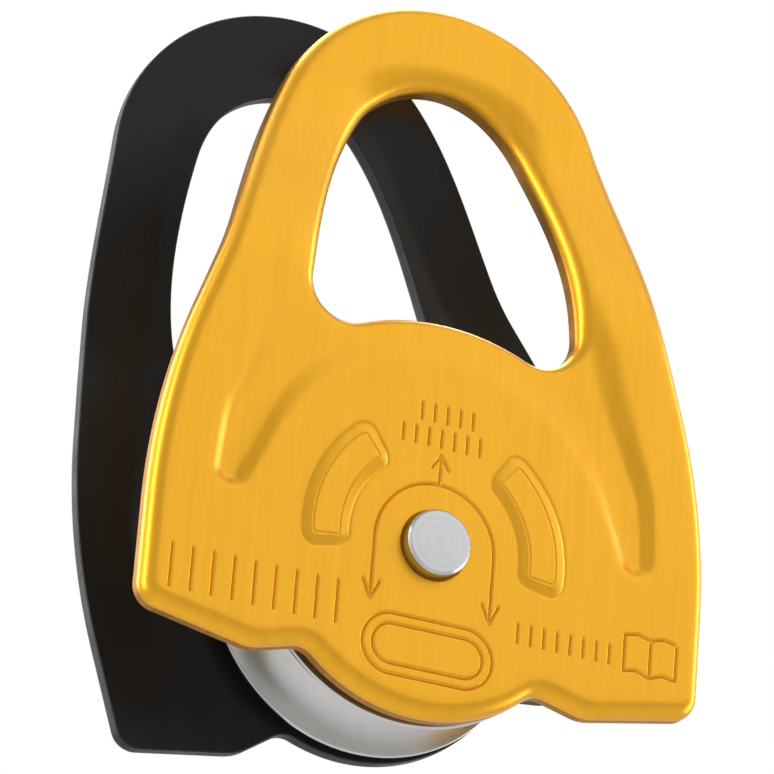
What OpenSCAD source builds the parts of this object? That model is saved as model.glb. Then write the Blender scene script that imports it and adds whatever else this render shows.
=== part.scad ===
// Small prusik-minding rope pulley: two stamped side plates that swing on one
// axle, and a grooved aluminium sheave on a pair of sealed ball bearings.
//
// Millimetres.  The axle lies along Y through the origin, which is the centre
// of the sheave.  +Z points from the axle to the carabiner eye of the front
// plate, and the front plate faces -Y.

/* [Side plates] */
// Distance from the axle to the top of the carabiner loop
plate_top = 65.7; // [62:0.1:70]
// Full width across the lower lobes
plate_width = 64.7; // [60:0.1:68]
// Sheet thickness of a side plate
plate_t = 3; // [2.5:0.1:3.5]
// Gap between the inner faces of the plates at the sheave
plate_gap = 15.8; // [15.6:0.1:18]
// How far the carabiner loop is set in towards the other plate
loop_offset = 6; // [4:0.1:6.2]
// Angle that the rear plate is swung open to
rear_swing = 20; // [0:1:60]
// Depth of the arch that is pressed in around the carabiner eye
press_depth = 0.8; // [0.4:0.1:1]

/* [Carabiner eye] */
// Distance from the axle to the top of the eye
eye_top = 55.7; // [54:0.1:56.5]
// Widest part of the eye
eye_width = 31.4; // [29:0.1:32]
// Radius of the lower edge of the eye, measured from the axle
eye_floor_r = 26; // [24:0.1:27]

/* [Sheave] */
// Outer diameter of the sheave's rims
rim_d = 37.5; // [36:0.1:38]
// Diameter at the bottom of the rope groove
tread_d = 25; // [24:0.1:27]
// Width of the sheave
sheave_width = 12.4; // [12:0.1:13]

/* [Axle] */
// Diameter of the axle inside the bearings
axle_d = 8; // [7.8:0.1:8]
// Diameter of the axle's ends, where it passes through the plates
axle_end_d = 7.3; // [7:0.1:7.5]
// How far the axle's front end stands out of the front plate
axle_proud = 1.6; // [1:0.1:2]

/* [Bearings] */
// Outer diameter of a ball bearing
bearing_d = 16; // [15.8:0.1:16.2]
// Width of a ball bearing
bearing_w = 5; // [4.8:0.1:5]
// Number of balls in a bearing
balls = 9; // [7:1:10]
// Distance between the two bearings
bearing_gap = 1; // [0.8:0.1:1.2]

/* [Hidden] */
$fn = 96;
eps = 0.01;

gold = "goldenrod";
black = [0.1, 0.1, 0.11];
steel = "silver";

// ---- plate outline -------------------------------------------------------
// An outline is a belt round a list of circles [x, z, r], taken clockwise.
// A positive r is a rounded corner, a negative r a hollow one.  Only the
// right half is listed, from the top to the bottom; the left is its mirror.
bulge_r = rim_d / 2 + 0.15;
top_r = 20;
flank_r = 135;
flank_start = 23;
flank_end = 14;
waist_r = 70;
hip_r = 75;
hip_z = -1.2;
corner_r = 2.7;
corner_z = -10.3;
heel_r = 5;
heel_at = [19.4, -9.95];
notch_r = 2.5;
notch_angle = -49.5;

function polar(r, a) = [r * cos(a), r * sin(a)];
function circle_at(c, r) = [c.x, c.y, r];

top_c = [0, plate_top - top_r];
flank_c = top_c - polar(flank_r - top_r, flank_start);
waist_c = flank_c + polar(flank_r + waist_r, flank_end);
plate_circles = [
    circle_at(top_c, top_r),
    circle_at(flank_c, flank_r),
    circle_at(waist_c, -waist_r),
    [plate_width / 2 - hip_r, hip_z, hip_r],
    [plate_width / 2 - corner_r, corner_z, corner_r],
    circle_at(heel_at, heel_r),
    circle_at(polar(bulge_r + notch_r, notch_angle), -notch_r),
    [0, 0, bulge_r]
];

eye_top_r = 11;
eye_side_r = 50;
eye_corner_r = 4.3;
eye_top_c = [0, eye_top - eye_top_r];
eye_side_a = acos((eye_side_r - eye_width / 2) / (eye_side_r - eye_top_r));
eye_corner_x = eye_width / 2 - eye_corner_r;
eye_corner_z = sqrt(pow(eye_floor_r + eye_corner_r, 2) - pow(eye_corner_x, 2));
eye_circles = [
    circle_at(eye_top_c, eye_top_r),
    circle_at(eye_top_c - polar(eye_side_r - eye_top_r, eye_side_a), eye_side_r),
    [eye_corner_x, eye_corner_z, eye_corner_r],
    [0, 0, -eye_floor_r]
];

function clamp1(k) = max(-1, min(1, k));
// Direction of the outward normal of the line that touches circles a and b
function touch(a, b) =
    let (d = [b.x - a.x, b.y - a.y])
    atan2(d.y, d.x) + acos(clamp1((a.z - b.z) / norm(d)));
function wrap(a) = a - 360 * round(a / 360);
// Angle between an arc's points: finer on a large radius
function arc_step(r) = abs(r) > 40 ? 3 : abs(r) > 15 ? 6 : 15;
// Points along circle c from normal a0 round to normal a1
function arc(c, a0, a1) =
    let (turn = wrap(a1 - a0), n = max(1, ceil(abs(turn) / arc_step(c.z))))
    [for (i = [0:n]) [c.x, c.y] + polar(c.z, a0 + turn * i / n)];
// Right half of a belt: it leaves the first circle's top and ends below
// or above the last circle's centre, where the outline crosses X = 0
function half_belt(c, end_normal) =
    let (last = len(c) - 1)
    [for (i = [0:last])
        let (
            a0 = i == 0 ? 90 : touch(c[i - 1], c[i]),
            a1 = i == last ? end_normal : touch(c[i], c[i + 1]))
        each arc(c[i], a0, a1)];
// Drops a point that lies on the one before it
function tidy(p) = [for (i = [0:len(p) - 1]) if (i == 0 || norm(p[i] - p[i - 1]) > 0.05) p[i]];
function belt(c, end_normal) =
    let (h = tidy(half_belt(c, end_normal)), n = len(h))
    concat(h, [for (i = [n - 2:-1:1]) [-h[i].x, h[i].y]]);

module plate_outline() {
    difference() {
        polygon(belt(plate_circles, -90));
        polygon(belt(eye_circles, -90));
    }
}

// ---- plate section ---------------------------------------------------------
// The plate is flat round the sheave.  Above it the sheet steps in, so that
// the two loops lie close together in a carabiner.
inner_y = plate_gap / 2;
outer_y = inner_y + plate_t;
step_start = 28;
step_end = 54;
step_count = 12;
section_top = 2 * plate_top;
section_bottom = -plate_width / 2;

function smooth(s) = s * s * (3 - 2 * s);
function step_in(z) = loop_offset * smooth(max(0, min(1, (z - step_start) / (step_end - step_start))));
step_z = [for (i = [0:step_count]) step_start + (step_end - step_start) * i / step_count];
section_z = concat([section_bottom], step_z, [section_top]);

// The space between two surfaces that follow the step, at these distances
// from the middle plane; -Y is outward
module stepped_slab(near, far) {
    last = len(section_z) - 1;
    line = concat(
        [for (z = section_z) [-(far - step_in(z)), z]],
        [for (i = [last:-1:0]) [-(near - step_in(section_z[i])), section_z[i]]]);
    rotate([90, 0, 90])
        linear_extrude(2 * plate_width, center = true) polygon(line);
}

// ---- pressed arch ----------------------------------------------------------
// The sheet round the eye is pressed in.  The arch's outer edge is a crease
// that runs down both limbs and ends in a rounded channel beside the hub.
arch_top_c = [0, 36.6];
arch_top_r = 21.4;
arch_corner_c = [4.8, 49.8];
arch_corner_r = 7.4;
arch_knee_c = [11.7, 8.6];
arch_knee_r = 13.4;
arch_end_c = [23.6, 3.7];
arch_end_r = 1.8;
arch_inner_r = 21.9;
arch_circles = [
    circle_at(arch_top_c, arch_top_r),
    circle_at(arch_corner_c, arch_corner_r),
    circle_at(arch_knee_c, arch_knee_r),
    circle_at(arch_end_c, arch_end_r),
    [0, 0, -arch_inner_r]
];

module arch_outline() {
    polygon(belt(arch_circles, -90));
}

// ---- kidney embossings -----------------------------------------------------
// A kidney is part of a ring round the axle, with rounded corners.  A groove
// follows its outline, and the sheet inside the groove is left standing.
kidney_mid_r = 12.6;
kidney_half_w = 2.7;
kidney_low = -12;
kidney_high = 56;
kidney_corner_r = 1.5;
kidney_groove_w = 0.9;
kidney_depth = 0.4;
kidney_steps = 8;

// Outline moved inward: a corner keeps its centre, and its radius shrinks
module kidney(inset) {
    out_r = kidney_mid_r + kidney_half_w - kidney_corner_r;
    in_r = kidney_mid_r - kidney_half_w + kidney_corner_r;
    corner_r = kidney_corner_r - inset;
    out_turn = asin(kidney_corner_r / out_r);
    in_turn = asin(kidney_corner_r / in_r);
    polygon(concat(
        sweep(out_r + corner_r, kidney_low + out_turn, kidney_high - out_turn),
        quarter(out_r, kidney_high - out_turn, 0, corner_r),
        quarter(in_r, kidney_high - in_turn, 90, corner_r),
        sweep(in_r - corner_r, kidney_high - in_turn, kidney_low + in_turn),
        quarter(in_r, kidney_low + in_turn, 180, corner_r),
        quarter(out_r, kidney_low + out_turn, 270, corner_r)));
}

// Points of an arc, without its last one
function sweep(r, from, to) =
    [for (i = [0:kidney_steps - 1]) polar(r, from + (to - from) * i / kidney_steps)];
// A quarter round about a point at radius r and angle a, from a + start
function quarter(r, a, start, corner_r) =
    [for (i = [0:3]) polar(r, a) + polar(corner_r, a + start + 90 * i / 4)];

module through(h) {
    rotate([90, 0, 0])
        linear_extrude(h, center = true) children();
}

module side_plate(hole_d) {
    depth = 4 * outer_y;
    difference() {
        union() {
            intersection() {
                through(depth) plate_outline();
                stepped_slab(inner_y, outer_y);
            }
            // the arch's swelling on the inner face
            intersection() {
                through(depth) difference() {
                    arch_outline();
                    polygon(belt(eye_circles, -90));
                }
                stepped_slab(inner_y - press_depth, inner_y + eps);
            }
        }
        // the arch's hollow in the outer face
        intersection() {
            through(depth) arch_outline();
            stepped_slab(outer_y - press_depth, outer_y + plate_t);
        }
        // a shallow groove round each kidney
        for (side = [0, 1])
            mirror([side, 0, 0]) translate([0, -outer_y, 0])
                through(2 * kidney_depth) difference() {
                    kidney(0);
                    kidney(kidney_groove_w);
                }
        rotate([90, 0, 0]) cylinder(d = hole_d, h = depth, center = true);
    }
}

// ---- axle, washers and bush --------------------------------------------------
bush_wall = 1;
bush_gap = 0.03;
side_gap = 0.05;
bush_d = axle_end_d + 2 * (bush_gap + bush_wall);
washer_d = 24;
washer_hub_d = 10.2;
washer_edge_gap = 0.25;
stack_half = bearing_w + bearing_gap / 2;
rivet_washer_d = 13;
rivet_washer_t = 0.8;
rivet_head_d = 10;
rivet_head_h = 1.4;
chamfer = 0.3;

front_end_y = -(outer_y + axle_proud);
rear_washer_y = outer_y + side_gap;
rear_head_y = rear_washer_y + rivet_washer_t;

// A turned piece: profile points are [radius, y]
module turned(profile) {
    rotate([-90, 0, 0]) rotate_extrude() polygon(profile);
}

module ring(outer_d, inner_d, y0, y1) {
    turned([[inner_d / 2, y0], [outer_d / 2, y0], [outer_d / 2, y1], [inner_d / 2, y1]]);
}

module axle() {
    end_r = axle_end_d / 2;
    mid_r = axle_d / 2;
    head_r = rivet_head_d / 2;
    color(steel) turned([
        [0, front_end_y],
        [end_r - chamfer, front_end_y],
        [end_r, front_end_y + chamfer],
        [end_r, -inner_y],
        [mid_r, -inner_y],
        [mid_r, inner_y],
        [end_r, inner_y],
        [end_r, rear_head_y],
        [head_r, rear_head_y],
        [head_r, rear_head_y + rivet_head_h / 2],
        [head_r - rivet_head_h / 2, rear_head_y + rivet_head_h],
        [0, rear_head_y + rivet_head_h]
    ]);
}

module rear_plate_bush() {
    color("peru") ring(bush_d, axle_end_d + 2 * bush_gap, inner_y + side_gap, outer_y);
}

module rivet_washer() {
    color(steel) ring(rivet_washer_d, axle_end_d, rear_washer_y, rear_head_y);
}

// A spacer between a plate and the bearing: a broad flange beside the plate
// and a hub that bears on the inner ring
module spacer_washer(plate_side) {
    hole_r = axle_d / 2;
    hub_r = washer_hub_d / 2;
    color("gray") turned([
        [hole_r, stack_half],
        [hub_r, stack_half],
        [hub_r, sheave_width / 2 + washer_edge_gap],
        [washer_d / 2, sheave_width / 2 + washer_edge_gap],
        [washer_d / 2, plate_side],
        [hole_r, plate_side]
    ]);
}

module front_spacer_washer() {
    mirror([0, 1, 0]) spacer_washer(inner_y);
}

module rear_spacer_washer() {
    spacer_washer(inner_y - side_gap);
}

module bearing_spacer() {
    color(steel) ring(washer_hub_d, axle_d, -bearing_gap / 2, bearing_gap / 2);
}

// ---- sheave --------------------------------------------------------------------
groove_depth = (rim_d - tread_d) / 2;
rim_land = 0.6;
rib_d = bearing_d - 1.8;
web_inner_r = 12.8;
web_outer_r = 16.2;
web_depth = 0.5;

// The rope groove is an arc through both rims and the tread
groove_half = sheave_width / 2 - rim_land;
groove_r = (groove_half * groove_half + groove_depth * groove_depth) / (2 * groove_depth);

module sheave() {
    half = sheave_width / 2;
    color("gainsboro") rotate([-90, 0, 0]) rotate_extrude() difference() {
        translate([rib_d / 2, -half]) square([(rim_d - rib_d) / 2, sheave_width]);
        translate([tread_d / 2 + groove_r, 0]) circle(groove_r);
        for (side = [-1, 1])
            translate([0, side * (bearing_gap + half) / 2])
                square([bearing_d, half], center = true);
        for (side = [-1, 1])
            translate([(web_inner_r + web_outer_r) / 2, side * half])
                square([web_outer_r - web_inner_r, 2 * web_depth], center = true);
    }
}

// ---- ball bearings -----------------------------------------------------------
ball_pitch_d = (bearing_d + axle_d) / 2;
race_r = 1.2;
ball_clearance = 0.02;
ball_r = race_r - ball_clearance;
race_wall = 1.05;
shield_t = 0.4;
shield_inset = 0.15;
cage_open_y = -0.8;
cage_back_y = 1.75;
cage_half_w = 0.7;
cage_pocket_gap = 0.03;
bearing_y = bearing_gap / 2 + bearing_w / 2;

// A part of a bearing is drawn with its outer face towards +Y, and is turned
// over for the front bearing.  The rear bearing is the front one turned round.
module front() {
    mirror([0, 1, 0]) translate([0, bearing_y, 0]) children();
}

module rear() {
    rotate([0, 0, 180]) front() children();
}

module race_groove() {
    translate([ball_pitch_d / 2, 0]) circle(race_r);
}

module race(r0, r1) {
    color(steel) rotate([-90, 0, 0]) rotate_extrude() difference() {
        translate([r0, -bearing_w / 2]) square([r1 - r0, bearing_w]);
        race_groove();
    }
}

module inner_ring() {
    race(axle_d / 2, axle_d / 2 + race_wall);
}

module outer_ring() {
    race(bearing_d / 2 - race_wall, bearing_d / 2);
}

module ball_set() {
    color(steel)
        for (i = [0:balls - 1])
            rotate([0, 360 * (i + 0.5) / balls, 0])
                translate([ball_pitch_d / 2, 0, 0]) sphere(ball_r);
}

// A crown cage: a ring beside the balls, with a snap-in pocket for each one
module cage() {
    color("tan") difference() {
        ring(ball_pitch_d + 2 * cage_half_w, ball_pitch_d - 2 * cage_half_w, cage_open_y, cage_back_y);
        for (i = [0:balls - 1])
            rotate([0, 360 * (i + 0.5) / balls, 0])
                translate([ball_pitch_d / 2, 0, 0]) sphere(ball_r + cage_pocket_gap);
    }
}

// A seal fills the gap between the rings at one face of the bearing
module seal(side) {
    y0 = side * (bearing_w / 2 - shield_inset - shield_t);
    y1 = side * (bearing_w / 2 - shield_inset);
    color([0.15, 0.15, 0.16])
        ring(bearing_d - 2 * race_wall, axle_d + 2 * race_wall + 0.3, min(y0, y1), max(y0, y1));
}

// ---- plates in place ------------------------------------------------------------
module front_side_plate() {
    color(gold) side_plate(axle_end_d);
}

module rear_side_plate() {
    color(black) rotate([0, -rear_swing, 0])
        mirror([0, 1, 0]) side_plate(bush_d);
}

front_side_plate();
rear_side_plate();
axle();
rear_plate_bush();
rivet_washer();
front_spacer_washer();
rear_spacer_washer();
bearing_spacer();
sheave();
front() inner_ring();  // front_inner_ring
front() outer_ring();  // front_outer_ring
front() ball_set();  // front_balls
front() cage();  // front_cage
front() seal(1);  // front_outer_seal
front() seal(-1);  // front_inner_seal
rear() inner_ring();  // rear_inner_ring
rear() outer_ring();  // rear_outer_ring
rear() ball_set();  // rear_balls
rear() cage();  // rear_cage
rear() seal(1);  // rear_outer_seal
rear() seal(-1);  // rear_inner_seal
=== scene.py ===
"""The looks of a small prusik-minding rope pulley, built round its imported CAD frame.

Lengths are millimetres, which MM turns into metres. Only WELD, CLIP_START and the
lengths inside the node materials are metres from the start.
Each side plate is a relief mesh: its outline is a belt round a few circles, its edge
is built from rings inset from that outline, and its two faces are height fields.
"""
import math

import bmesh
import bpy
import numpy as np
from mathutils import Matrix, Vector
from mathutils.geometry import delaunay_2d_cdt


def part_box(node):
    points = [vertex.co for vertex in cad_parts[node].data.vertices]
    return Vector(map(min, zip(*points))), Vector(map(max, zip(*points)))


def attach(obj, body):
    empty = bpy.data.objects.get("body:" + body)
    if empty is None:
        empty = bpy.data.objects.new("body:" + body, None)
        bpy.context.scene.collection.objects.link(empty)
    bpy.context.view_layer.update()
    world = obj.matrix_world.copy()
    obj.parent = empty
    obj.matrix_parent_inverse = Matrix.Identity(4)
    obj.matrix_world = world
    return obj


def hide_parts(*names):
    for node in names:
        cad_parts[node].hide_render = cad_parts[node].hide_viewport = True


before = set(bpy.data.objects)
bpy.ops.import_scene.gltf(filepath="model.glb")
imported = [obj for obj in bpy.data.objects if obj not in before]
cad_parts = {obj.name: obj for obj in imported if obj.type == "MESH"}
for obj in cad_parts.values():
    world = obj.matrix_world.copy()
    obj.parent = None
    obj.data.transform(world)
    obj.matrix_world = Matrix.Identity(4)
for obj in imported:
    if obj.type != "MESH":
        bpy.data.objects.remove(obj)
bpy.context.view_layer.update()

MM = 0.001
WELD = 2e-7


def box_mm(node):
    low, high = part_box(node)
    return np.array(low) / MM, np.array(high) / MM


# ---- sizes taken from the frame ------------------------------------------------
plate_low, plate_high = box_mm("front_side_plate")
sheave_high = box_mm("sheave")[1]
axle_low, axle_high = box_mm("axle")
washer_high = box_mm("rear_spacer_washer")[1]
rivet_low, rivet_high = box_mm("rivet_washer")
bush_low, bush_high = box_mm("rear_plate_bush")

PLATE_TOP = plate_high[2]
PLATE_HALF_W = plate_high[0]
BULGE_R = -plate_low[2]
OUTER_Y = -plate_low[1]
PLATE_T = 3.0
INNER_Y = OUTER_Y - PLATE_T
RIM_R = sheave_high[0]
SHEAVE_HALF = sheave_high[1]
AXLE_FRONT = axle_low[1]
AXLE_REAR = axle_high[1]
RIVET_HEAD_R = axle_high[0]
BUSH_R = bush_high[0]

# ---- sizes of the side plates, as in the CAD model ------------------------------
REAR_SWING = math.radians(20)
AXLE_END_R = 3.65
LOOP_OFFSET = 6.0
STEP_START = 28.0
STEP_END = 54.0
PRESS = 0.8

TOP_R = 20.0
FLANK_R = 135.0
FLANK_START = 23
FLANK_END = 14
WAIST_R = 70.0
HIP_R = 75.0
HIP_Z = -1.2
CORNER_R = 2.7
CORNER_Z = -10.3
# The heel beside the lobe: x, z, radius
HEEL = (19.4, -9.95, 5.0)
NOTCH_R = 2.5
NOTCH_ANGLE = -49.5

EYE_TOP = 55.7
EYE_W = 31.4
EYE_FLOOR_R = 26.0
EYE_TOP_R = 11.0
EYE_SIDE_R = 50.0
EYE_CORNER_R = 4.3

# ---- outlines as belts round circles ---------------------------------------------
BELT_SPACING = 0.55
BELT_TURN = 9
SAME_POINT = 0.05


def polar(radius, degrees):
    a = math.radians(degrees)
    return np.array([radius * math.cos(a), radius * math.sin(a)])


def circle_at(centre, radius):
    return (centre[0], centre[1], radius)


def touch(a, b):
    """Direction, in degrees, of the outward normal of the line touching circles a and b."""
    dx, dz = b[0] - a[0], b[1] - a[1]
    lean = max(-1.0, min(1.0, (a[2] - b[2]) / math.hypot(dx, dz)))
    return math.degrees(math.atan2(dz, dx) + math.acos(lean))


def wrap(a):
    return a - 360 * round(a / 360)


def half_belt(circles, inset):
    """Right half of a clockwise outline, from the top to the bottom, moved inward by inset.
    The number of points doesn't depend on inset, so two insets join as a strip."""
    points = []
    count = len(circles)
    angles = [90.0] + [touch(circles[i], circles[i + 1]) for i in range(count - 1)] + [-90.0]
    corner = None
    for i, (x, z, r) in enumerate(circles):
        centre = np.array([x, z])
        turn = wrap(angles[i + 1] - angles[i])
        by_length = math.ceil(abs(math.radians(turn) * r) / BELT_SPACING)
        steps = max(1, by_length, math.ceil(abs(turn) / BELT_TURN))
        if corner is not None:
            gap = np.linalg.norm(centre + polar(r, angles[i]) - corner)
            if gap > SAME_POINT:
                begin = points[-1]
                end = centre + polar(r - inset, angles[i])
                line = math.ceil(gap / BELT_SPACING)
                points += [begin + (end - begin) * k / line for k in range(1, line)]
            else:
                points.pop()
        points += [centre + polar(r - inset, angles[i] + turn * k / steps)
                   for k in range(steps + 1)]
        corner = centre + polar(r, angles[i + 1])
    return np.array(points)


def belt(circles, inset=0.0):
    """A whole outline: the right half, and its mirror image."""
    right = half_belt(circles, inset)
    left = right[::-1][1:-1] * [-1, 1]
    return np.vstack([right, left])


top_c = (0.0, PLATE_TOP - TOP_R)
flank_c = top_c - polar(FLANK_R - TOP_R, FLANK_START)
waist_c = flank_c + polar(FLANK_R + WAIST_R, FLANK_END)
PLATE_CIRCLES = [
    circle_at(top_c, TOP_R),
    circle_at(flank_c, FLANK_R),
    circle_at(waist_c, -WAIST_R),
    (PLATE_HALF_W - HIP_R, HIP_Z, HIP_R),
    (PLATE_HALF_W - CORNER_R, CORNER_Z, CORNER_R),
    HEEL,
    circle_at(polar(BULGE_R + NOTCH_R, NOTCH_ANGLE), -NOTCH_R),
    (0.0, 0.0, BULGE_R),
]
eye_top_c = np.array([0.0, EYE_TOP - EYE_TOP_R])
eye_side_a = math.degrees(math.acos((EYE_SIDE_R - EYE_W / 2) / (EYE_SIDE_R - EYE_TOP_R)))
eye_corner_x = EYE_W / 2 - EYE_CORNER_R
eye_corner_z = math.sqrt((EYE_FLOOR_R + EYE_CORNER_R) ** 2 - eye_corner_x ** 2)
EYE_CIRCLES = [
    circle_at(eye_top_c, EYE_TOP_R),
    circle_at(eye_top_c - polar(EYE_SIDE_R - EYE_TOP_R, eye_side_a), EYE_SIDE_R),
    (eye_corner_x, eye_corner_z, EYE_CORNER_R),
    (0.0, 0.0, -EYE_FLOOR_R),
]
# Outer edge of the pressed arch: over the eye, down both limbs, round a channel end
ARCH_END_R = 20.4
ARCH_CIRCLES = [
    (0.0, 36.6, 22.1),
    (4.8, 49.8, 8.1),
    (11.7, 8.6, 14.1),
    (23.6, 3.7, 2.5),
    (0.0, 0.0, -ARCH_END_R),
]


# ---- small numeric tools ------------------------------------------------------------
FAR = 1e9


def smooth(s):
    s = np.clip(s, 0.0, 1.0)
    return s * s * (3 - 2 * s)


def distance_to(points, path, closed):
    """Distance from each point to a polyline."""
    a = path if closed else path[:-1]
    b = np.roll(path, -1, axis=0) if closed else path[1:]
    best = np.full(len(points), FAR)
    for p, q in zip(a, b):
        d = q - p
        t = np.clip(((points - p) @ d) / max(d @ d, 1e-12), 0, 1)
        best = np.minimum(best, np.hypot(*(points - p - t[:, None] * d).T))
    return best


def inside(points, polygon):
    x, z = points[:, 0], points[:, 1]
    result = np.zeros(len(points), bool)
    for (x0, z0), (x1, z1) in zip(polygon, np.roll(polygon, -1, axis=0)):
        crosses = (z0 > z) != (z1 > z)
        with np.errstate(divide="ignore", invalid="ignore"):
            at = x0 + (z - z0) * (x1 - x0) / (z1 - z0)
        result ^= crosses & (x < at)
    return result


def signed(points, polygon):
    """Distance to a closed outline, positive inside it."""
    d = distance_to(points, polygon, True)
    return np.where(inside(points, polygon), d, -d)


# ---- engraved marks -------------------------------------------------------------------
MARK_W = 0.46
MARK_DEPTH = 0.2
ROPE_R = 6.9
ROPE_LEG_Z = -7.4
ROPE_ARROW = (0.95, 2.1)
UP_TIP_Z = 10.3
UP_ARROW = (1.0, 1.6)
# A blank plate and an open book: middle x, middle z, half width, half height
PILL = (0.1, -11.8, 7.5, 3.35)
BOOK = (26.0, -7.0, 3.1, 2.2)
PILL_LINE_GAP = 1.15
SPINE_DROP = 0.4
PAGE_DROP = 0.3
# Rows of ticks: first x, middle z, half height, pitch, count
TICK_ROWS = [
    (-2.6, 14.9, 0.95, 1.5, 5),
    (-4.6, 12.1, 0.95, 1.5, 7),
    (10.3, -7.7, 1.05, 1.55, 8),
    (-29.4, -8.5, 2.35, 2.35, 9),
]


def arc_points(cx, cz, r, a0, a1, step):
    count = max(2, math.ceil(abs(a1 - a0) / step))
    return [np.array([cx, cz]) + polar(r, a0 + (a1 - a0) * k / count) for k in range(count + 1)]


def arrow_head(x, z, way, half_w, length):
    """A V with its tip at x, z that points up or down, as way is 1 or -1."""
    return np.array([(x - half_w, z - way * length), (x, z), (x + half_w, z - way * length)])


def front_marks():
    """Polylines of the generic marks: rope path, arrows, blank plate, open book, ticks."""
    marks = []
    rope = [(-ROPE_R, ROPE_LEG_Z)] + arc_points(0, 0, ROPE_R, 180, 0, 6) + [(ROPE_R, ROPE_LEG_Z)]
    marks.append(np.array(rope))
    for x in (-ROPE_R, ROPE_R):
        marks.append(arrow_head(x, ROPE_LEG_Z, -1, *ROPE_ARROW))
    marks.append(np.array([(0, ROPE_R), (0, UP_TIP_Z)]))
    marks.append(arrow_head(0, UP_TIP_Z, 1, *UP_ARROW))
    x, z, w, h = PILL
    for r in (h, h - PILL_LINE_GAP):
        loop = arc_points(x + w - h, z, r, 90, -90, 9) + arc_points(x - w + h, z, r, -90, -270, 9)
        marks.append(np.array(loop + loop[:1]))
    x, z, w, h = BOOK
    for side in (-1, 1):
        page = [(x, z + h - SPINE_DROP), (x + side * 0.5 * w, z + h),
                (x + side * w, z + h - PAGE_DROP), (x + side * w, z - h),
                (x + side * 0.5 * w, z - h + PAGE_DROP), (x, z - h - PAGE_DROP)]
        marks.append(np.array(page))
    marks.append(np.array([(x, z + h - SPINE_DROP), (x, z - h - PAGE_DROP)]))
    for first, z, half, pitch, count in TICK_ROWS:
        for k in range(count):
            x = first + k * pitch
            marks.append(np.array([(x, z - half), (x, z + half)]))
    return marks


def densify(path, step):
    """The same polyline with points no further apart than step."""
    out = [path[0]]
    for p, q in zip(path[:-1], path[1:]):
        count = max(1, math.ceil(np.linalg.norm(q - p) / step))
        out += [p + (q - p) * k / count for k in range(1, count + 1)]
    return np.array(out)


# ---- the sheet's relief ----------------------------------------------------------------
DISC_SLOPE_IN = 18.2
DISC_SLOPE_OUT = 24.2
CREASE_NARROW = 1.9
CREASE_WIDE = 4.2
CREASE_LOW_Z = 6.0
CREASE_HIGH_Z = 24.0
KIDNEY_MID_R = 12.6
KIDNEY_HALF_W = 2.75
KIDNEY_LOW = -12.0
KIDNEY_HIGH = 56.0
KIDNEY_CORNER = 1.6
KIDNEY_LINE_W = 0.5
KIDNEY_LINE = 0.07
ISLAND_LINE_IN = 0.12
ISLAND_LINE_HALF_W = 0.16
KIDNEY_FLANK = 1.1
KIDNEY_RISE = 0.32


def step_in(z):
    """How far the sheet has stepped in towards the other plate at a height."""
    return LOOP_OFFSET * smooth((z - STEP_START) / (STEP_END - STEP_START))


def arch_depth(points):
    """The pressed arch: a slope that is short at the channel's end and long round the eye."""
    crease = signed(points, ARCH_OUTLINE)
    radius = np.hypot(points[:, 0], points[:, 1])
    high = smooth((points[:, 1] - CREASE_LOW_Z) / (CREASE_HIGH_Z - CREASE_LOW_Z))
    width = CREASE_NARROW + (CREASE_WIDE - CREASE_NARROW) * high
    outward = (radius - DISC_SLOPE_IN) / (DISC_SLOPE_OUT - DISC_SLOPE_IN)
    return PRESS * smooth(crease / width) * smooth(outward)


def kidney_inside(points):
    """Distance in from the outline of the nearer kidney, negative outside it."""
    x, z = np.abs(points[:, 0]), points[:, 1]
    middle = math.radians((KIDNEY_LOW + KIDNEY_HIGH) / 2)
    half_u = math.radians((KIDNEY_HIGH - KIDNEY_LOW) / 2) * KIDNEY_MID_R
    u = np.abs(np.arctan2(z, x) - middle) * KIDNEY_MID_R - (half_u - KIDNEY_CORNER)
    v = np.abs(np.hypot(x, z) - KIDNEY_MID_R) - (KIDNEY_HALF_W - KIDNEY_CORNER)
    out = np.hypot(np.maximum(u, 0), np.maximum(v, 0)) + np.minimum(np.maximum(u, v), 0)
    return KIDNEY_CORNER - out


def kidney_depth(points):
    """A fine line round each kidney, a flank that rises from it, and a flat island."""
    d = kidney_inside(points)
    outer_line = KIDNEY_LINE * (1 - smooth(np.abs(d) / (KIDNEY_LINE_W / 2)))
    from_island = np.abs(d - KIDNEY_FLANK - ISLAND_LINE_IN)
    island_line = KIDNEY_LINE * (1 - smooth(from_island / ISLAND_LINE_HALF_W))
    flank = np.clip(d / KIDNEY_FLANK, 0, 1)
    return outer_line + island_line - KIDNEY_RISE * flank


def mark_distance(points, marks):
    """Distance from each point to the nearest engraved line, or FAR if none is near."""
    margin = 1.5
    nearest = np.full(len(points), FAR)
    for path in marks:
        low, high = path.min(axis=0) - margin, path.max(axis=0) + margin
        close = np.all((points > low) & (points < high), axis=1)
        nearest[close] = np.minimum(nearest[close], distance_to(points[close], path, False))
    return nearest


def face_depth(points, marks):
    """Depth of a plate's outer face below its flat part."""
    depth = step_in(points[:, 1]) + arch_depth(points) + kidney_depth(points)
    if marks:
        depth = depth + MARK_DEPTH * (1 - smooth(mark_distance(points, marks) / (MARK_W / 2)))
    return depth


ARCH_OUTLINE = belt(ARCH_CIRCLES)


# ---- meshes ---------------------------------------------------------------------------
SHARP_ANGLE = math.radians(32)


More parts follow.
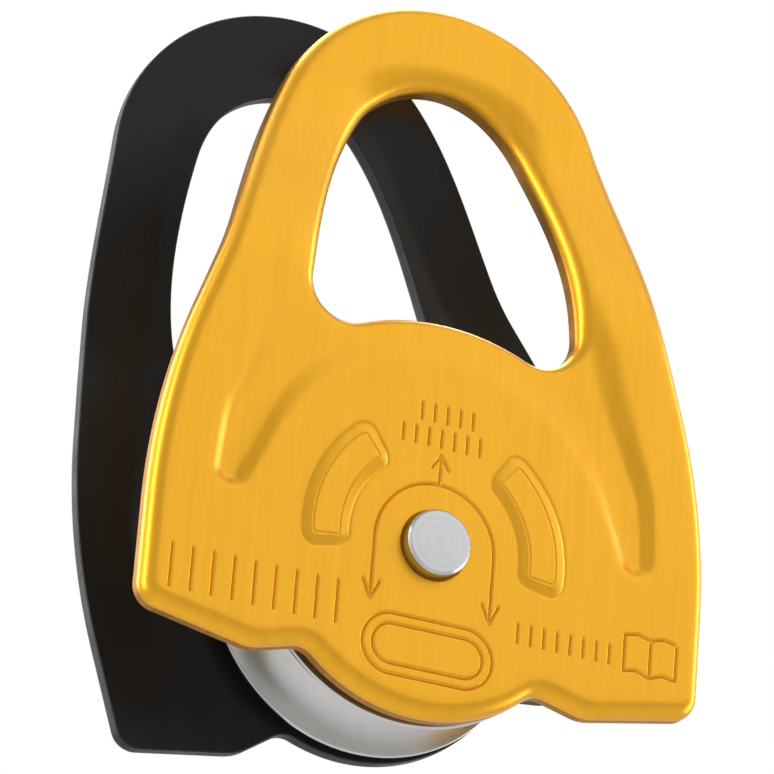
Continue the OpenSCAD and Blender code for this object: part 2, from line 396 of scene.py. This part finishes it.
class Builder:
    """Collects the vertices and faces of one mesh, in millimetres."""

    def __init__(self):
        self.verts = []
        self.faces = []
        self.slots = []

    def add(self, verts, faces, slot=0):
        base = len(self.verts)
        self.verts += [tuple(float(c) for c in v) for v in verts]
        self.faces += [tuple(base + int(k) for k in face) for face in faces]
        self.slots += [slot] * len(faces)

    def strip(self, rings, slots):
        """Quads between closed rings that have the same number of points."""
        count = len(rings[0])
        for a, b, slot in zip(rings[:-1], rings[1:], slots):
            faces = [(k, (k + 1) % count, count + (k + 1) % count, count + k) for k in range(count)]
            self.add(list(a) + list(b), faces, slot)

    def make(self, name, materials, turn=None):
        mesh = bpy.data.meshes.new(name)
        mesh.from_pydata([Vector(v) * MM for v in self.verts], [], self.faces)
        for material in materials:
            mesh.materials.append(material)
        mesh.polygons.foreach_set("material_index", self.slots)
        bm = bmesh.new()
        bm.from_mesh(mesh)
        bmesh.ops.remove_doubles(bm, verts=bm.verts, dist=WELD)
        bmesh.ops.recalc_face_normals(bm, faces=bm.faces)
        bm.to_mesh(mesh)
        bm.free()
        if turn is not None:
            mesh.transform(turn)
            if turn.determinant() < 0:
                mesh.flip_normals()
        mesh.polygons.foreach_set("use_smooth", [True] * len(mesh.polygons))
        mesh.set_sharp_from_angle(angle=SHARP_ANGLE)
        obj = bpy.data.objects.new(name, mesh)
        bpy.context.collection.objects.link(obj)
        return obj


def dress(obj, body, slot, *nodes):
    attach(obj, body)
    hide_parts(*nodes)


# ---- side plates ----------------------------------------------------------------------
EDGE_R = 1.75
EYE_EDGE_R = 1.45
HOLE_BREAK = 0.35
BACK_BREAK = 0.12
EDGE_BENDS = (0, 12, 24, 36, 48, 60, 72, 82, 90)
WALL_PARTS = (0.1, 0.5, 1.0)
HOLE_POINTS = 96
# The grids that fill a face, and how far each keeps from the face's outlines
COARSE = 0.8
COARSE_MARGIN = 0.35
FINE = 0.32
FINE_MARGIN = 0.2
HOLE_MARGIN = 0.3
# The fine grid is kept where the relief bends by more than the limit over the reach
BEND_REACH = 0.3
BEND_LIMIT = 0.006
# Points along an engraved line, and how far they run past its ends
MARK_STEP = 0.2
MARK_RUN_OUT = 0.6
# How far the grid keeps from an engraved line, in line widths
MARK_CLEAR = 1.35
# Rows beside an engraved line, in half widths of it
MARK_ROWS = (-2.3, -1.6, -1.1, -0.75, -0.4, 0, 0.4, 0.75, 1.1, 1.6, 2.3)
# Points along a kidney's outline, and how far the grid keeps from it on each side
KIDNEY_STEP = 0.3
KIDNEY_CORNER_STEPS = 8
KIDNEY_CLEAR_OUT = 0.75
KIDNEY_CLEAR_IN = 0.85
# Rows along a kidney's outline, by their distance in from it
KIDNEY_ROWS = (-0.6, -0.42, -0.27, -0.12, 0.0, 0.12, 0.27, 0.6,
               0.95, 1.06, 1.14, 1.22, 1.3, 1.4, 1.55, 1.75)


def edge_profile(radius):
    """Rounded edge, cut wall and tiny break: (distance in from the outline, depth, slot)."""
    arc = [(radius * (1 - math.sin(math.radians(a))), radius * (1 - math.cos(math.radians(a))), 0)
           for a in EDGE_BENDS]
    deep = PLATE_T - BACK_BREAK
    wall = [(0.0, radius + (deep - radius) * k, 1) for k in WALL_PARTS]
    return arc + wall + [(BACK_BREAK, PLATE_T, 1)]


def lift(xz, depth):
    """Points of a plate at a depth below its outer face, which faces -Y."""
    return np.stack([xz[:, 0], depth - OUTER_Y, xz[:, 1]], axis=1)


def hex_grid(step):
    """Points of a triangular grid over the whole plate."""
    rows = []
    for j, z in enumerate(np.arange(-BULGE_R, PLATE_TOP, step * math.sqrt(3) / 2)):
        xs = np.arange(-PLATE_HALF_W, PLATE_HALF_W, step) + (step / 2 if j % 2 else 0)
        rows.append(np.stack([xs, np.full(len(xs), z)], axis=1))
    return np.vstack(rows)


def clear_of(points, loops, margin):
    """Points inside the first loop and outside the others, at least margin from each."""
    keep = signed(points, loops[0]) > margin
    for loop in loops[1:]:
        keep &= signed(points, loop) < -margin
    return points[keep]


def relief_bends(points, height):
    """How sharply a height field bends at each point, from its neighbours."""
    middle = height(points)
    bend = np.zeros(len(points))
    for dx, dz in ((BEND_REACH, 0), (0, BEND_REACH)):
        step = np.array([dx, dz])
        bend = np.maximum(bend, np.abs(height(points + step) + height(points - step) - 2 * middle))
    return bend


def mark_rows(marks):
    """Rows of points along each engraved line, from its middle to both of its edges."""
    rows = []
    for path in marks:
        path = np.array(path, float)
        if np.linalg.norm(path[0] - path[-1]) > MARK_W:
            start, end = path[0] - path[1], path[-1] - path[-2]
            run = MARK_RUN_OUT
            path = np.vstack([path[0] + start / np.linalg.norm(start) * run, path,
                              path[-1] + end / np.linalg.norm(end) * run])
        dense = densify(path, MARK_STEP)
        along = np.gradient(dense, axis=0)
        along /= np.linalg.norm(along, axis=1)[:, None]
        across = np.stack([-along[:, 1], along[:, 0]], axis=1)
        for k in MARK_ROWS:
            rows.append(dense + across * k * MARK_W / 2)
    return np.vstack(rows)


def kidney_rows():
    """Rows of points that follow each kidney's outline, where its relief has edges."""
    rows = []
    middle = (KIDNEY_LOW + KIDNEY_HIGH) / 2
    half_u = math.radians((KIDNEY_HIGH - KIDNEY_LOW) / 2) * KIDNEY_MID_R
    corner_turns = [90 * k / KIDNEY_CORNER_STEPS for k in range(KIDNEY_CORNER_STEPS + 1)]
    for inset in KIDNEY_ROWS:
        u, v = half_u - KIDNEY_CORNER, KIDNEY_HALF_W - KIDNEY_CORNER
        r = KIDNEY_CORNER - inset
        loop = []
        for cu, cv, start in ((u, v, 0), (-u, v, 90), (-u, -v, 180), (u, -v, 270)):
            if r > 0:
                loop += [np.array([cu, cv]) + polar(r, start + a) for a in corner_turns]
            else:
                sign_u, sign_v = math.copysign(1, cu), math.copysign(1, cv)
                loop.append(np.array([cu + sign_u * r, cv + sign_v * r]))
        loop.append(loop[0])
        for pu, pv in densify(np.array(loop), KIDNEY_STEP):
            x, z = polar(KIDNEY_MID_R + pv, middle + math.degrees(pu / KIDNEY_MID_R))
            rows += [(x, z), (-x, z)]
    return np.array(rows)


def plate_grid():
    """Points that fill a face between its rounded edges, closer together where it bends."""
    loops = [belt(PLATE_CIRCLES, EDGE_R), belt(EYE_CIRCLES, -EYE_EDGE_R)]
    coarse = clear_of(hex_grid(COARSE), loops, COARSE_MARGIN)
    fine = clear_of(hex_grid(FINE), loops, FINE_MARGIN)
    bend = relief_bends(fine, lambda p: step_in(p[:, 1]) + arch_depth(p))
    return np.vstack([coarse, fine[bend > BEND_LIMIT]])


GRID = plate_grid()
# Points of a face that are nearer than this become one
SAME_VERTEX = 1e-5


def face_sheet(builder, loops, height, marks, behind, kidneys):
    """One face of a plate, as triangles inside the first loop and outside the others."""
    hole_r = np.hypot(*loops[2][0])
    points = GRID[np.hypot(GRID[:, 0], GRID[:, 1]) > hole_r + HOLE_MARGIN]
    if kidneys:
        d = kidney_inside(points)
        clear = (d < -KIDNEY_CLEAR_OUT) | (d > KIDNEY_FLANK + KIDNEY_CLEAR_IN)
        points = np.vstack([points[clear], kidney_rows()])
    if marks:
        points = np.vstack([points[mark_distance(points, marks) > MARK_W * MARK_CLEAR],
                            mark_rows(marks)])
    points = np.unique(np.round(points, 3), axis=0)
    verts = [Vector(p) for loop in loops for p in loop] + [Vector(p) for p in points]
    edges = []
    base = 0
    for loop in loops:
        edges += [(base + k, base + (k + 1) % len(loop)) for k in range(len(loop))]
        base += len(loop)
    out = delaunay_2d_cdt(verts, edges, [], 0, SAME_VERTEX)
    xz = np.array([tuple(v) for v in out[0]])
    faces = np.array(out[2])
    middle = xz[faces].mean(axis=1)
    keep = inside(middle, loops[0])
    for loop in loops[1:]:
        keep &= ~inside(middle, loop)
    builder.add(lift(xz, height(xz) + behind), faces[keep], 0)


def side_plate(hole_r, marks):
    """A side plate whose outer face is towards -Y, with the loop up."""
    builder = Builder()
    round_hole = np.array([polar(1.0, -360 * k / HOLE_POINTS) for k in range(HOLE_POINTS)])

    def sheet_depth(xz):
        return step_in(xz[:, 1]) + arch_depth(xz)

    for circles, way, radius in ((PLATE_CIRCLES, 1, EDGE_R), (EYE_CIRCLES, -1, EYE_EDGE_R)):
        profile = edge_profile(radius)
        slots = [after[2] for after in profile[1:]]
        rings = []
        for inset, depth, _ in profile:
            xz = belt(circles, way * inset)
            rings.append(lift(xz, sheet_depth(xz) + depth))
        builder.strip(rings, slots)
    rings = []
    hole_steps = ((HOLE_BREAK, 0.0), (0.0, HOLE_BREAK), (0.0, PLATE_T - BACK_BREAK),
                  (BACK_BREAK, PLATE_T))
    for widen, depth in hole_steps:
        xz = round_hole * (hole_r + widen)
        rings.append(lift(xz, np.full(HOLE_POINTS, depth)))
    builder.strip(rings, [0, 1, 1])
    front = [belt(PLATE_CIRCLES, EDGE_R), belt(EYE_CIRCLES, -EYE_EDGE_R),
             round_hole * (hole_r + HOLE_BREAK)]
    back = [belt(PLATE_CIRCLES, BACK_BREAK), belt(EYE_CIRCLES, -BACK_BREAK),
            round_hole * (hole_r + BACK_BREAK)]
    face_sheet(builder, front, lambda p: face_depth(p, marks), marks, 0.0, True)
    face_sheet(builder, back, sheet_depth, [], PLATE_T, False)
    return builder


# ---- turned pieces ----------------------------------------------------------------------
FILLET_STEPS = 5


def rounded(profile, closed=True):
    """A profile of (radius, y, fillet) with each filleted corner turned into an arc."""
    out = []
    count = len(profile)
    for k, (r, y, fillet) in enumerate(profile):
        here = np.array([r, y], float)
        last_or_first = not closed and k in (0, count - 1)
        if fillet <= 0 or last_or_first:
            out.append(here)
            continue
        before = np.array(profile[k - 1][:2], float) - here
        after = np.array(profile[(k + 1) % count][:2], float) - here
        before /= np.linalg.norm(before)
        after /= np.linalg.norm(after)
        half = math.acos(max(-1, min(1, before @ after))) / 2
        reach = fillet / math.tan(half)
        centre = here + (before + after) / np.linalg.norm(before + after) * fillet / math.sin(half)
        a = here + before * reach - centre
        b = here + after * reach - centre
        for s in range(FILLET_STEPS + 1):
            mix = a * (1 - s / FILLET_STEPS) + b * s / FILLET_STEPS
            out.append(centre + mix / np.linalg.norm(mix) * fillet)
    return out


def lathe(name, profile, materials, closed=True, segments=160):
    """Turns (radius, y) points round the Y axis."""
    builder = Builder()
    rings = []
    for r, y in profile:
        rings.append([(r * math.cos(t), y, r * math.sin(t))
                      for t in np.linspace(0, 2 * math.pi, segments, endpoint=False)])
    if closed:
        rings.append(rings[0])
    builder.strip(rings, [0] * (len(rings) - 1))
    return builder.make(name, materials)


# ---- materials ----------------------------------------------------------------------------
NOISE_ROUGH = 0.55
NOISE_LOW = 0.3
NOISE_HIGH = 0.7


class Nodes:
    """A short way to write a node material; lengths in it are in metres."""

    def __init__(self, name, metallic, **constants):
        self.material = bpy.data.materials.new(name)
        self.material.use_nodes = True
        self.tree = self.material.node_tree
        self.shader = self.tree.nodes["Principled BSDF"]
        self.shader.inputs["Metallic"].default_value = metallic
        for key, value in constants.items():
            self.shader.inputs[key.replace("_", " ")].default_value = value
        self.place = self.tree.nodes.new("ShaderNodeTexCoord").outputs["Object"]

    def node(self, kind, **settings):
        made = self.tree.nodes.new(kind)
        for key, value in settings.items():
            setattr(made, key, value)
        return made

    def link(self, a, b):
        self.tree.links.new(a, b)

    def math(self, operation, a, b=None):
        made = self.node("ShaderNodeMath", operation=operation)
        for socket, value in zip(made.inputs, (a, b)):
            if value is None:
                continue
            if isinstance(value, (int, float)):
                socket.default_value = value
            else:
                self.link(value, socket)
        return made.outputs[0]

    def mapped(self, scale, turn=0.0, source=None):
        """A stretched place, turned about the axle first for the swung plate."""
        made = self.node("ShaderNodeMapping")
        made.inputs["Scale"].default_value = scale
        first = source or self.place
        if turn:
            turned = self.node("ShaderNodeVectorRotate", rotation_type="Y_AXIS")
            turned.inputs["Angle"].default_value = turn
            self.link(first, turned.inputs["Vector"])
            first = turned.outputs[0]
        self.link(first, made.inputs["Vector"])
        return made.outputs[0]

    def noise(self, vector, scale, detail):
        made = self.node("ShaderNodeTexNoise")
        made.inputs["Scale"].default_value = scale
        made.inputs["Detail"].default_value = detail
        made.inputs["Roughness"].default_value = NOISE_ROUGH
        self.link(vector, made.inputs["Vector"])
        return made.outputs["Fac"]

    def radius(self):
        """Distance from the axle's axis as a vector that is the same all round a turned piece."""
        parts = self.node("ShaderNodeSeparateXYZ")
        self.link(self.place, parts.inputs[0])
        x2 = self.math("MULTIPLY", parts.outputs[0], parts.outputs[0])
        z2 = self.math("MULTIPLY", parts.outputs[2], parts.outputs[2])
        r = self.math("SQRT", self.math("ADD", x2, z2))
        joined = self.node("ShaderNodeCombineXYZ")
        self.link(r, joined.inputs[0])
        self.link(parts.outputs[1], joined.inputs[1])
        return joined.outputs[0]

    def span(self, fac, low, high):
        """Spreads the middle of a noise's range from low to high."""
        made = self.node("ShaderNodeMapRange")
        made.inputs["From Min"].default_value = NOISE_LOW
        made.inputs["From Max"].default_value = NOISE_HIGH
        made.inputs["To Min"].default_value = low
        made.inputs["To Max"].default_value = high
        self.link(fac, made.inputs["Value"])
        return made.outputs[0]

    def colour(self, fac, dark, light):
        made = self.node("ShaderNodeMix", data_type="RGBA")
        made.inputs["A"].default_value = (*dark, 1)
        made.inputs["B"].default_value = (*light, 1)
        self.link(self.span(fac, 0.0, 1.0), made.inputs["Factor"])
        self.link(made.outputs["Result"], self.shader.inputs["Base Color"])

    def rough(self, fac, low, high):
        self.link(self.span(fac, low, high), self.shader.inputs["Roughness"])

    def bump(self, *layers):
        """Stacks bump layers of (fac, height in metres)."""
        normal = None
        for fac, height in layers:
            made = self.node("ShaderNodeBump")
            made.inputs["Strength"].default_value = 1.0
            made.inputs["Distance"].default_value = height
            self.link(fac, made.inputs["Height"])
            if normal is not None:
                self.link(normal, made.inputs["Normal"])
            normal = made.outputs[0]
        self.link(normal, self.shader.inputs["Normal"])
        return self.material


COAT_ROUGH = 0.22


def anodised(name, metallic, specular, coat, dark, light, low, high, turn, grain):
    """Brushed sheet under a coloured anodised layer. Its grain runs up the plate."""
    n = Nodes(name, metallic, Specular_IOR_Level=specular, Coat_Weight=coat, Coat_Roughness=COAT_ROUGH)
    fine = n.noise(n.mapped((6000, 3000, 160), turn), 1.0, 3)
    streak = n.noise(n.mapped((1500, 800, 24), turn), 1.0, 4)
    cloud = n.noise(n.place, 60, 4)
    peel = n.noise(n.place, 2600, 2)
    tone = n.math("ADD", n.math("MULTIPLY", streak, 0.55), n.math("MULTIPLY", cloud, 0.45))
    n.colour(tone, dark, light)
    n.rough(n.math("ADD", n.math("MULTIPLY", fine, 0.6), n.math("MULTIPLY", cloud, 0.4)), low, high)
    return n.bump((fine, grain), (streak, grain * 1.6), (peel, grain * 0.5))


def cut_edge(name, dark, light, turn):
    """The sheared wall of the sheet: streaks across its thickness, duller than the faces."""
    n = Nodes(name, 0.85)
    shear = n.noise(n.mapped((2400, 90, 2400), turn), 1.0, 4)
    patch = n.noise(n.place, 220, 5)
    n.colour(n.math("ADD", n.math("MULTIPLY", shear, 0.5), n.math("MULTIPLY", patch, 0.5)),
             dark, light)
    n.rough(patch, 0.38, 0.6)
    return n.bump((shear, 6e-6), (patch, 8e-6))


def turned_metal(name, dark, light, low, high, ridge):
    """Turned metal with fine concentric tool marks and a few handling smudges."""
    n = Nodes(name, 1.0)
    tool = n.noise(n.mapped((9000, 9000, 0), source=n.radius()), 1.0, 3)
    band = n.noise(n.mapped((1300, 1300, 0), source=n.radius()), 1.0, 3)
    smudge = n.noise(n.place, 170, 4)
    n.colour(n.math("ADD", n.math("MULTIPLY", band, 0.5), n.math("MULTIPLY", smudge, 0.5)),
             dark, light)
    n.rough(n.math("ADD", n.math("MULTIPLY", tool, 0.5), n.math("MULTIPLY", smudge, 0.5)), low, high)
    return n.bump((tool, ridge), (band, ridge * 1.5))


def moulded(name, dark, light, low, high, grain):
    """Moulded plastic or rubber: a fine skin, worn in rings where it rubs."""
    n = Nodes(name, 0.0)
    skin = n.noise(n.place, 5200, 4)
    wear = n.noise(n.mapped((900, 900, 0), source=n.radius()), 1.0, 4)
    n.colour(n.math("ADD", n.math("MULTIPLY", skin, 0.4), n.math("MULTIPLY", wear, 0.6)),
             dark, light)
    n.rough(wear, low, high)
    return n.bump((skin, grain), (wear, grain))


GOLD = anodised("gold_anodised", metallic=1.0, specular=0.5, coat=0.35,
                dark=(0.83, 0.402, 0.014), light=(0.91, 0.458, 0.020),
                low=0.34, high=0.43, turn=0.0, grain=3e-7)
BLACK = anodised("black_anodised", metallic=0.2, specular=0.28, coat=0.0,
                 dark=(0.006, 0.0063, 0.007), light=(0.011, 0.0115, 0.0125),
                 low=0.36, high=0.48, turn=REAR_SWING, grain=4e-7)
GOLD_CUT = cut_edge("gold_cut_edge", (0.34, 0.15, 0.018), (0.56, 0.27, 0.045), 0.0)
BLACK_CUT = cut_edge("black_cut_edge", (0.02, 0.021, 0.022), (0.045, 0.047, 0.049), REAR_SWING)
STEEL = turned_metal("turned_steel", (0.50, 0.50, 0.51), (0.62, 0.62, 0.62), 0.22, 0.36, 9e-7)
ALLOY = turned_metal("turned_aluminium", (0.58, 0.58, 0.57), (0.69, 0.685, 0.67), 0.24, 0.38, 8e-7)
BRONZE = turned_metal("plain_bronze", (0.42, 0.24, 0.10), (0.55, 0.33, 0.15), 0.28, 0.42, 1e-6)
RACE = turned_metal("ground_race", (0.48, 0.48, 0.49), (0.58, 0.58, 0.58), 0.12, 0.22, 4e-7)
BALL = turned_metal("polished_ball", (0.58, 0.58, 0.58), (0.66, 0.66, 0.66), 0.05, 0.1, 1e-7)
SLIDER = moulded("black_slider_plastic", (0.012, 0.012, 0.013), (0.03, 0.03, 0.031), 0.35, 0.55, 4e-6)
CAGE = moulded("cage_plastic", (0.42, 0.32, 0.18), (0.56, 0.44, 0.27), 0.4, 0.6, 4e-6)
SEAL = moulded("rubber_seal", (0.012, 0.012, 0.012), (0.028, 0.028, 0.028), 0.55, 0.75, 6e-6)


# ---- the plates in place --------------------------------------------------------------------
front_plate = side_plate(AXLE_END_R, front_marks()).make("front_plate_shell", [GOLD, GOLD_CUT])
dress(front_plate, "front_plate", "front_plate", "front_side_plate")

turned_over = Matrix.Rotation(-REAR_SWING, 4, "Y") @ Matrix.Scale(-1, 4, (0, 1, 0))
rear_plate = side_plate(BUSH_R, []).make("rear_plate_shell", [BLACK, BLACK_CUT], turned_over)
dress(rear_plate, "rear_plate", "rear_plate", "rear_side_plate")

# ---- the axle and what is on it ---------------------------------------------------------------
AXLE_MID_R = 4.0
END_CHAMFER = 0.28
HEAD_RIM = 0.55
DOME_BENDS = (12, 24, 36, 48, 60, 72, 82)
end_r = AXLE_END_R
head_y = rivet_high[1]
# Profiles are (radius, y, fillet)
head_profile = [(0.0, AXLE_FRONT, 0), (end_r - END_CHAMFER, AXLE_FRONT, 0.06),
                (end_r, AXLE_FRONT + END_CHAMFER, 0.06), (end_r, -INNER_Y, 0),
                (AXLE_MID_R, -INNER_Y, 0.1), (AXLE_MID_R, INNER_Y, 0.1), (end_r, INNER_Y, 0),
                (end_r, head_y, 0), (RIVET_HEAD_R, head_y, 0.2),
                (RIVET_HEAD_R, head_y + HEAD_RIM, 0.3)]
dome_rise = AXLE_REAR - head_y - HEAD_RIM
dome = [(RIVET_HEAD_R * math.cos(t), head_y + HEAD_RIM + dome_rise * math.sin(t), 0)
        for t in np.radians(DOME_BENDS)]
axle = lathe("axle_shell", rounded(head_profile + dome + [(0.0, AXLE_REAR, 0)], False),
             [STEEL], closed=False, segments=128)
dress(axle, "front_plate", "axle", "axle")


BUSH_GAP = 0.03
FLANGE_GAP = 0.25


def ring_profile(inner_r, outer_r, y0, y1, fillet):
    return rounded([(inner_r, y0, fillet), (outer_r, y0, fillet), (outer_r, y1, fillet),
                    (inner_r, y1, fillet)])


rivet = lathe("rivet_washer_shell",
              ring_profile(end_r, rivet_high[0], rivet_low[1], rivet_high[1], 0.18), [STEEL])
dress(rivet, "front_plate", "washer", "rivet_washer")
bush = lathe("rear_bush_shell",
             ring_profile(end_r + BUSH_GAP, BUSH_R, bush_low[1], bush_high[1], 0.12), [BRONZE])
dress(bush, "rear_plate", "bush", "rear_plate_bush")

WASHER_HUB_R = 5.1
FLANGE_Y = SHEAVE_HALF + FLANGE_GAP
HUB_Y = 5.5
for side, plate_y in ((-1, INNER_Y), (1, washer_high[1])):
    profile = [(AXLE_MID_R, side * HUB_Y, 0.1), (WASHER_HUB_R, side * HUB_Y, 0.1),
               (WASHER_HUB_R, side * FLANGE_Y, 0.2), (washer_high[0], side * FLANGE_Y, 0.35),
               (washer_high[0], side * plate_y, 0.35), (AXLE_MID_R, side * plate_y, 0.1)]
    end = "front" if side < 0 else "rear"
    piece = lathe(end + "_spacer_shell", rounded(profile), [SLIDER])
    dress(piece, "front_plate", "spacer", end + "_spacer_washer")

# ---- the sheave ----------------------------------------------------------------------------------
TREAD_R = 12.5
RIB_R = 7.1
BORE_R = 8.0
BORE_Y = 0.5
RIM_LAND = 0.6
GROOVE_POINTS = 41
# The shallow hollow in each side face
WEB_INNER_R = 12.8
WEB_OUTER_R = 16.2
WEB_SLOPE = 0.15
WEB_DEPTH = 0.5
WEB_Y = SHEAVE_HALF - WEB_DEPTH
groove_half = SHEAVE_HALF - RIM_LAND
groove_deep = RIM_R - TREAD_R
groove_r = (groove_half ** 2 + groove_deep ** 2) / (2 * groove_deep)
groove_c = TREAD_R + groove_r
reach = math.degrees(math.atan2(groove_half, RIM_R - groove_c))
groove = [(groove_c + groove_r * math.cos(t), groove_r * math.sin(t), 0)
          for t in np.radians(np.linspace(-reach, reach - 360, GROOVE_POINTS))]
groove[0] = (RIM_R, -groove_half, 0.16)
groove[-1] = (RIM_R, groove_half, 0.16)
half_side = [(BORE_R, BORE_Y, 0), (BORE_R, SHEAVE_HALF, 0.25),
             (WEB_INNER_R, SHEAVE_HALF, 0.2), (WEB_INNER_R + WEB_SLOPE, WEB_Y, 0.3),
             (WEB_OUTER_R - WEB_SLOPE, WEB_Y, 0.3), (WEB_OUTER_R, SHEAVE_HALF, 0.2),
             (RIM_R, SHEAVE_HALF, 0.22)]
front_side = [(r, -y, f) for r, y, f in half_side]
outline = ([(RIB_R, -BORE_Y, 0.08)] + front_side + groove + half_side[::-1] + [(RIB_R, BORE_Y, 0.08)])
sheave = lathe("sheave_shell", rounded(outline), [ALLOY], segments=224)
dress(sheave, "sheave", "sheave", "sheave")

# ---- bearings keep their CAD shapes ---------------------------------------------------------------
finishes = {"inner_ring": RACE, "outer_ring": RACE, "balls": BALL, "cage": CAGE,
            "outer_seal": SEAL, "inner_seal": SEAL}
for end in ("front", "rear"):
    for part, material in finishes.items():
        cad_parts[end + "_" + part].data.materials[0] = material
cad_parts["bearing_spacer"].data.materials[0] = RACE

# ---- floor, light and camera ------------------------------------------------------------------------
FLOOR_Z = -1300.0
FLOOR_HALF = 6000.0
FLOOR_STEPS = 24
FLOOR_GLOW = 0.13


def studio_floor():
    """A plain pale floor, far enough down for a view from below."""
    builder = Builder()
    steps = FLOOR_STEPS
    line = np.linspace(-FLOOR_HALF, FLOOR_HALF, steps)
    verts = [(x, y, FLOOR_Z) for y in line for x in line]
    faces = [(j * steps + i, j * steps + i + 1, (j + 1) * steps + i + 1, (j + 1) * steps + i)
             for j in range(steps - 1) for i in range(steps - 1)]
    builder.add(verts, faces)
    n = Nodes("studio_floor", 0.0, Emission_Color=(1, 1, 1, 1), Emission_Strength=FLOOR_GLOW)
    n.colour(n.noise(n.place, 3, 3), (0.80, 0.80, 0.80), (0.84, 0.84, 0.84))
    n.rough(n.noise(n.place, 9, 3), 0.6, 0.7)
    n.bump((n.noise(n.place, 40, 3), 1e-4))
    return builder.make("studio_floor", [n.material])


studio_floor()


LIGHT_AIM = Vector((0, 0, 22))


def card(name, direction, distance, width, height, power):
    """A soft white light at a distance from the object in a direction, in millimetres."""
    data = bpy.data.lights.new(name, "AREA")
    data.shape = "RECTANGLE"
    data.size, data.size_y = width * MM, height * MM
    data.energy = power
    obj = bpy.data.objects.new(name, data)
    bpy.context.collection.objects.link(obj)
    way = Vector(direction).normalized()
    obj.location = (LIGHT_AIM + way * distance) * MM
    obj.rotation_euler = way.to_track_quat("Z", "Y").to_euler()


card("key", (0.44, -0.70, 0.66), 900, 1000, 1050, 1.75)
card("right_box", (0.98, -0.1, 0.05), 800, 240, 900, 3.0)
card("left_box", (-0.97, -0.15, 0.15), 800, 180, 900, 3.0)
card("top_box", (0.0, 0.45, 0.9), 800, 800, 400, 3.5)
card("rear_box", (-0.60, 0.72, 0.34), 900, 500, 800, 3.5)

# The world is even, and white in the part that stands behind the object
SKY_LEVEL = 0.60
BACKDROP_LEVEL = 1.0
BACKDROP_WAY = Vector((0.35, 0.86, 0.37)).normalized()
BACKDROP_START = 0.70
BACKDROP_END = 0.93


def studio_world():
    world = bpy.data.worlds.new("studio")
    world.use_nodes = True
    sky = world.node_tree
    place = sky.nodes.new("ShaderNodeTexCoord")
    dot = sky.nodes.new("ShaderNodeVectorMath")
    dot.operation = "DOT_PRODUCT"
    dot.inputs[1].default_value = BACKDROP_WAY
    sky.links.new(place.outputs["Generated"], dot.inputs[0])
    near = sky.nodes.new("ShaderNodeMapRange")
    near.interpolation_type = "SMOOTHERSTEP"
    near.inputs["From Min"].default_value = BACKDROP_START
    near.inputs["From Max"].default_value = BACKDROP_END
    sky.links.new(dot.outputs["Value"], near.inputs["Value"])
    level = sky.nodes.new("ShaderNodeMix")
    level.inputs["A"].default_value = SKY_LEVEL
    level.inputs["B"].default_value = BACKDROP_LEVEL
    sky.links.new(near.outputs[0], level.inputs["Factor"])
    background = sky.nodes["Background"]
    background.inputs["Color"].default_value = (1, 1, 1, 1)
    sky.links.new(level.outputs["Result"], background.inputs["Strength"])
    return world


bpy.context.scene.world = studio_world()

# The camera looks up at the object from its front left, through a long lens
CAM_AZ = -22.30
CAM_EL = -21.96
CAM_ROLL = 4.645
CAM_DISTANCE = 591.7
CAM_TARGET = Vector((-2.43, 0, 21.33))
SENSOR = 36.0
CAM_LENS = 252.5
CLIP_START = 0.01

az, el, roll = (math.radians(a) for a in (CAM_AZ, CAM_EL, CAM_ROLL))
back = Vector((math.sin(az) * math.cos(el), -math.cos(az) * math.cos(el), math.sin(el)))
right = (-back).cross(Vector((0, 0, 1))).normalized()
up = right.cross(-back)
image_right = right * math.cos(roll) + up * math.sin(roll)
image_up = up * math.cos(roll) - right * math.sin(roll)
lens = bpy.data.cameras.new("studio_camera")
lens.lens = CAM_LENS
lens.sensor_width = SENSOR
lens.clip_start = CLIP_START
camera = bpy.data.objects.new("studio_camera", lens)
bpy.context.collection.objects.link(camera)
turn = Matrix((image_right, image_up, back)).transposed().to_4x4()
camera.matrix_world = Matrix.Translation((CAM_TARGET + back * CAM_DISTANCE) * MM) @ turn
bpy.context.scene.camera = camera
bpy.context.scene.view_settings.view_transform = "Standard"
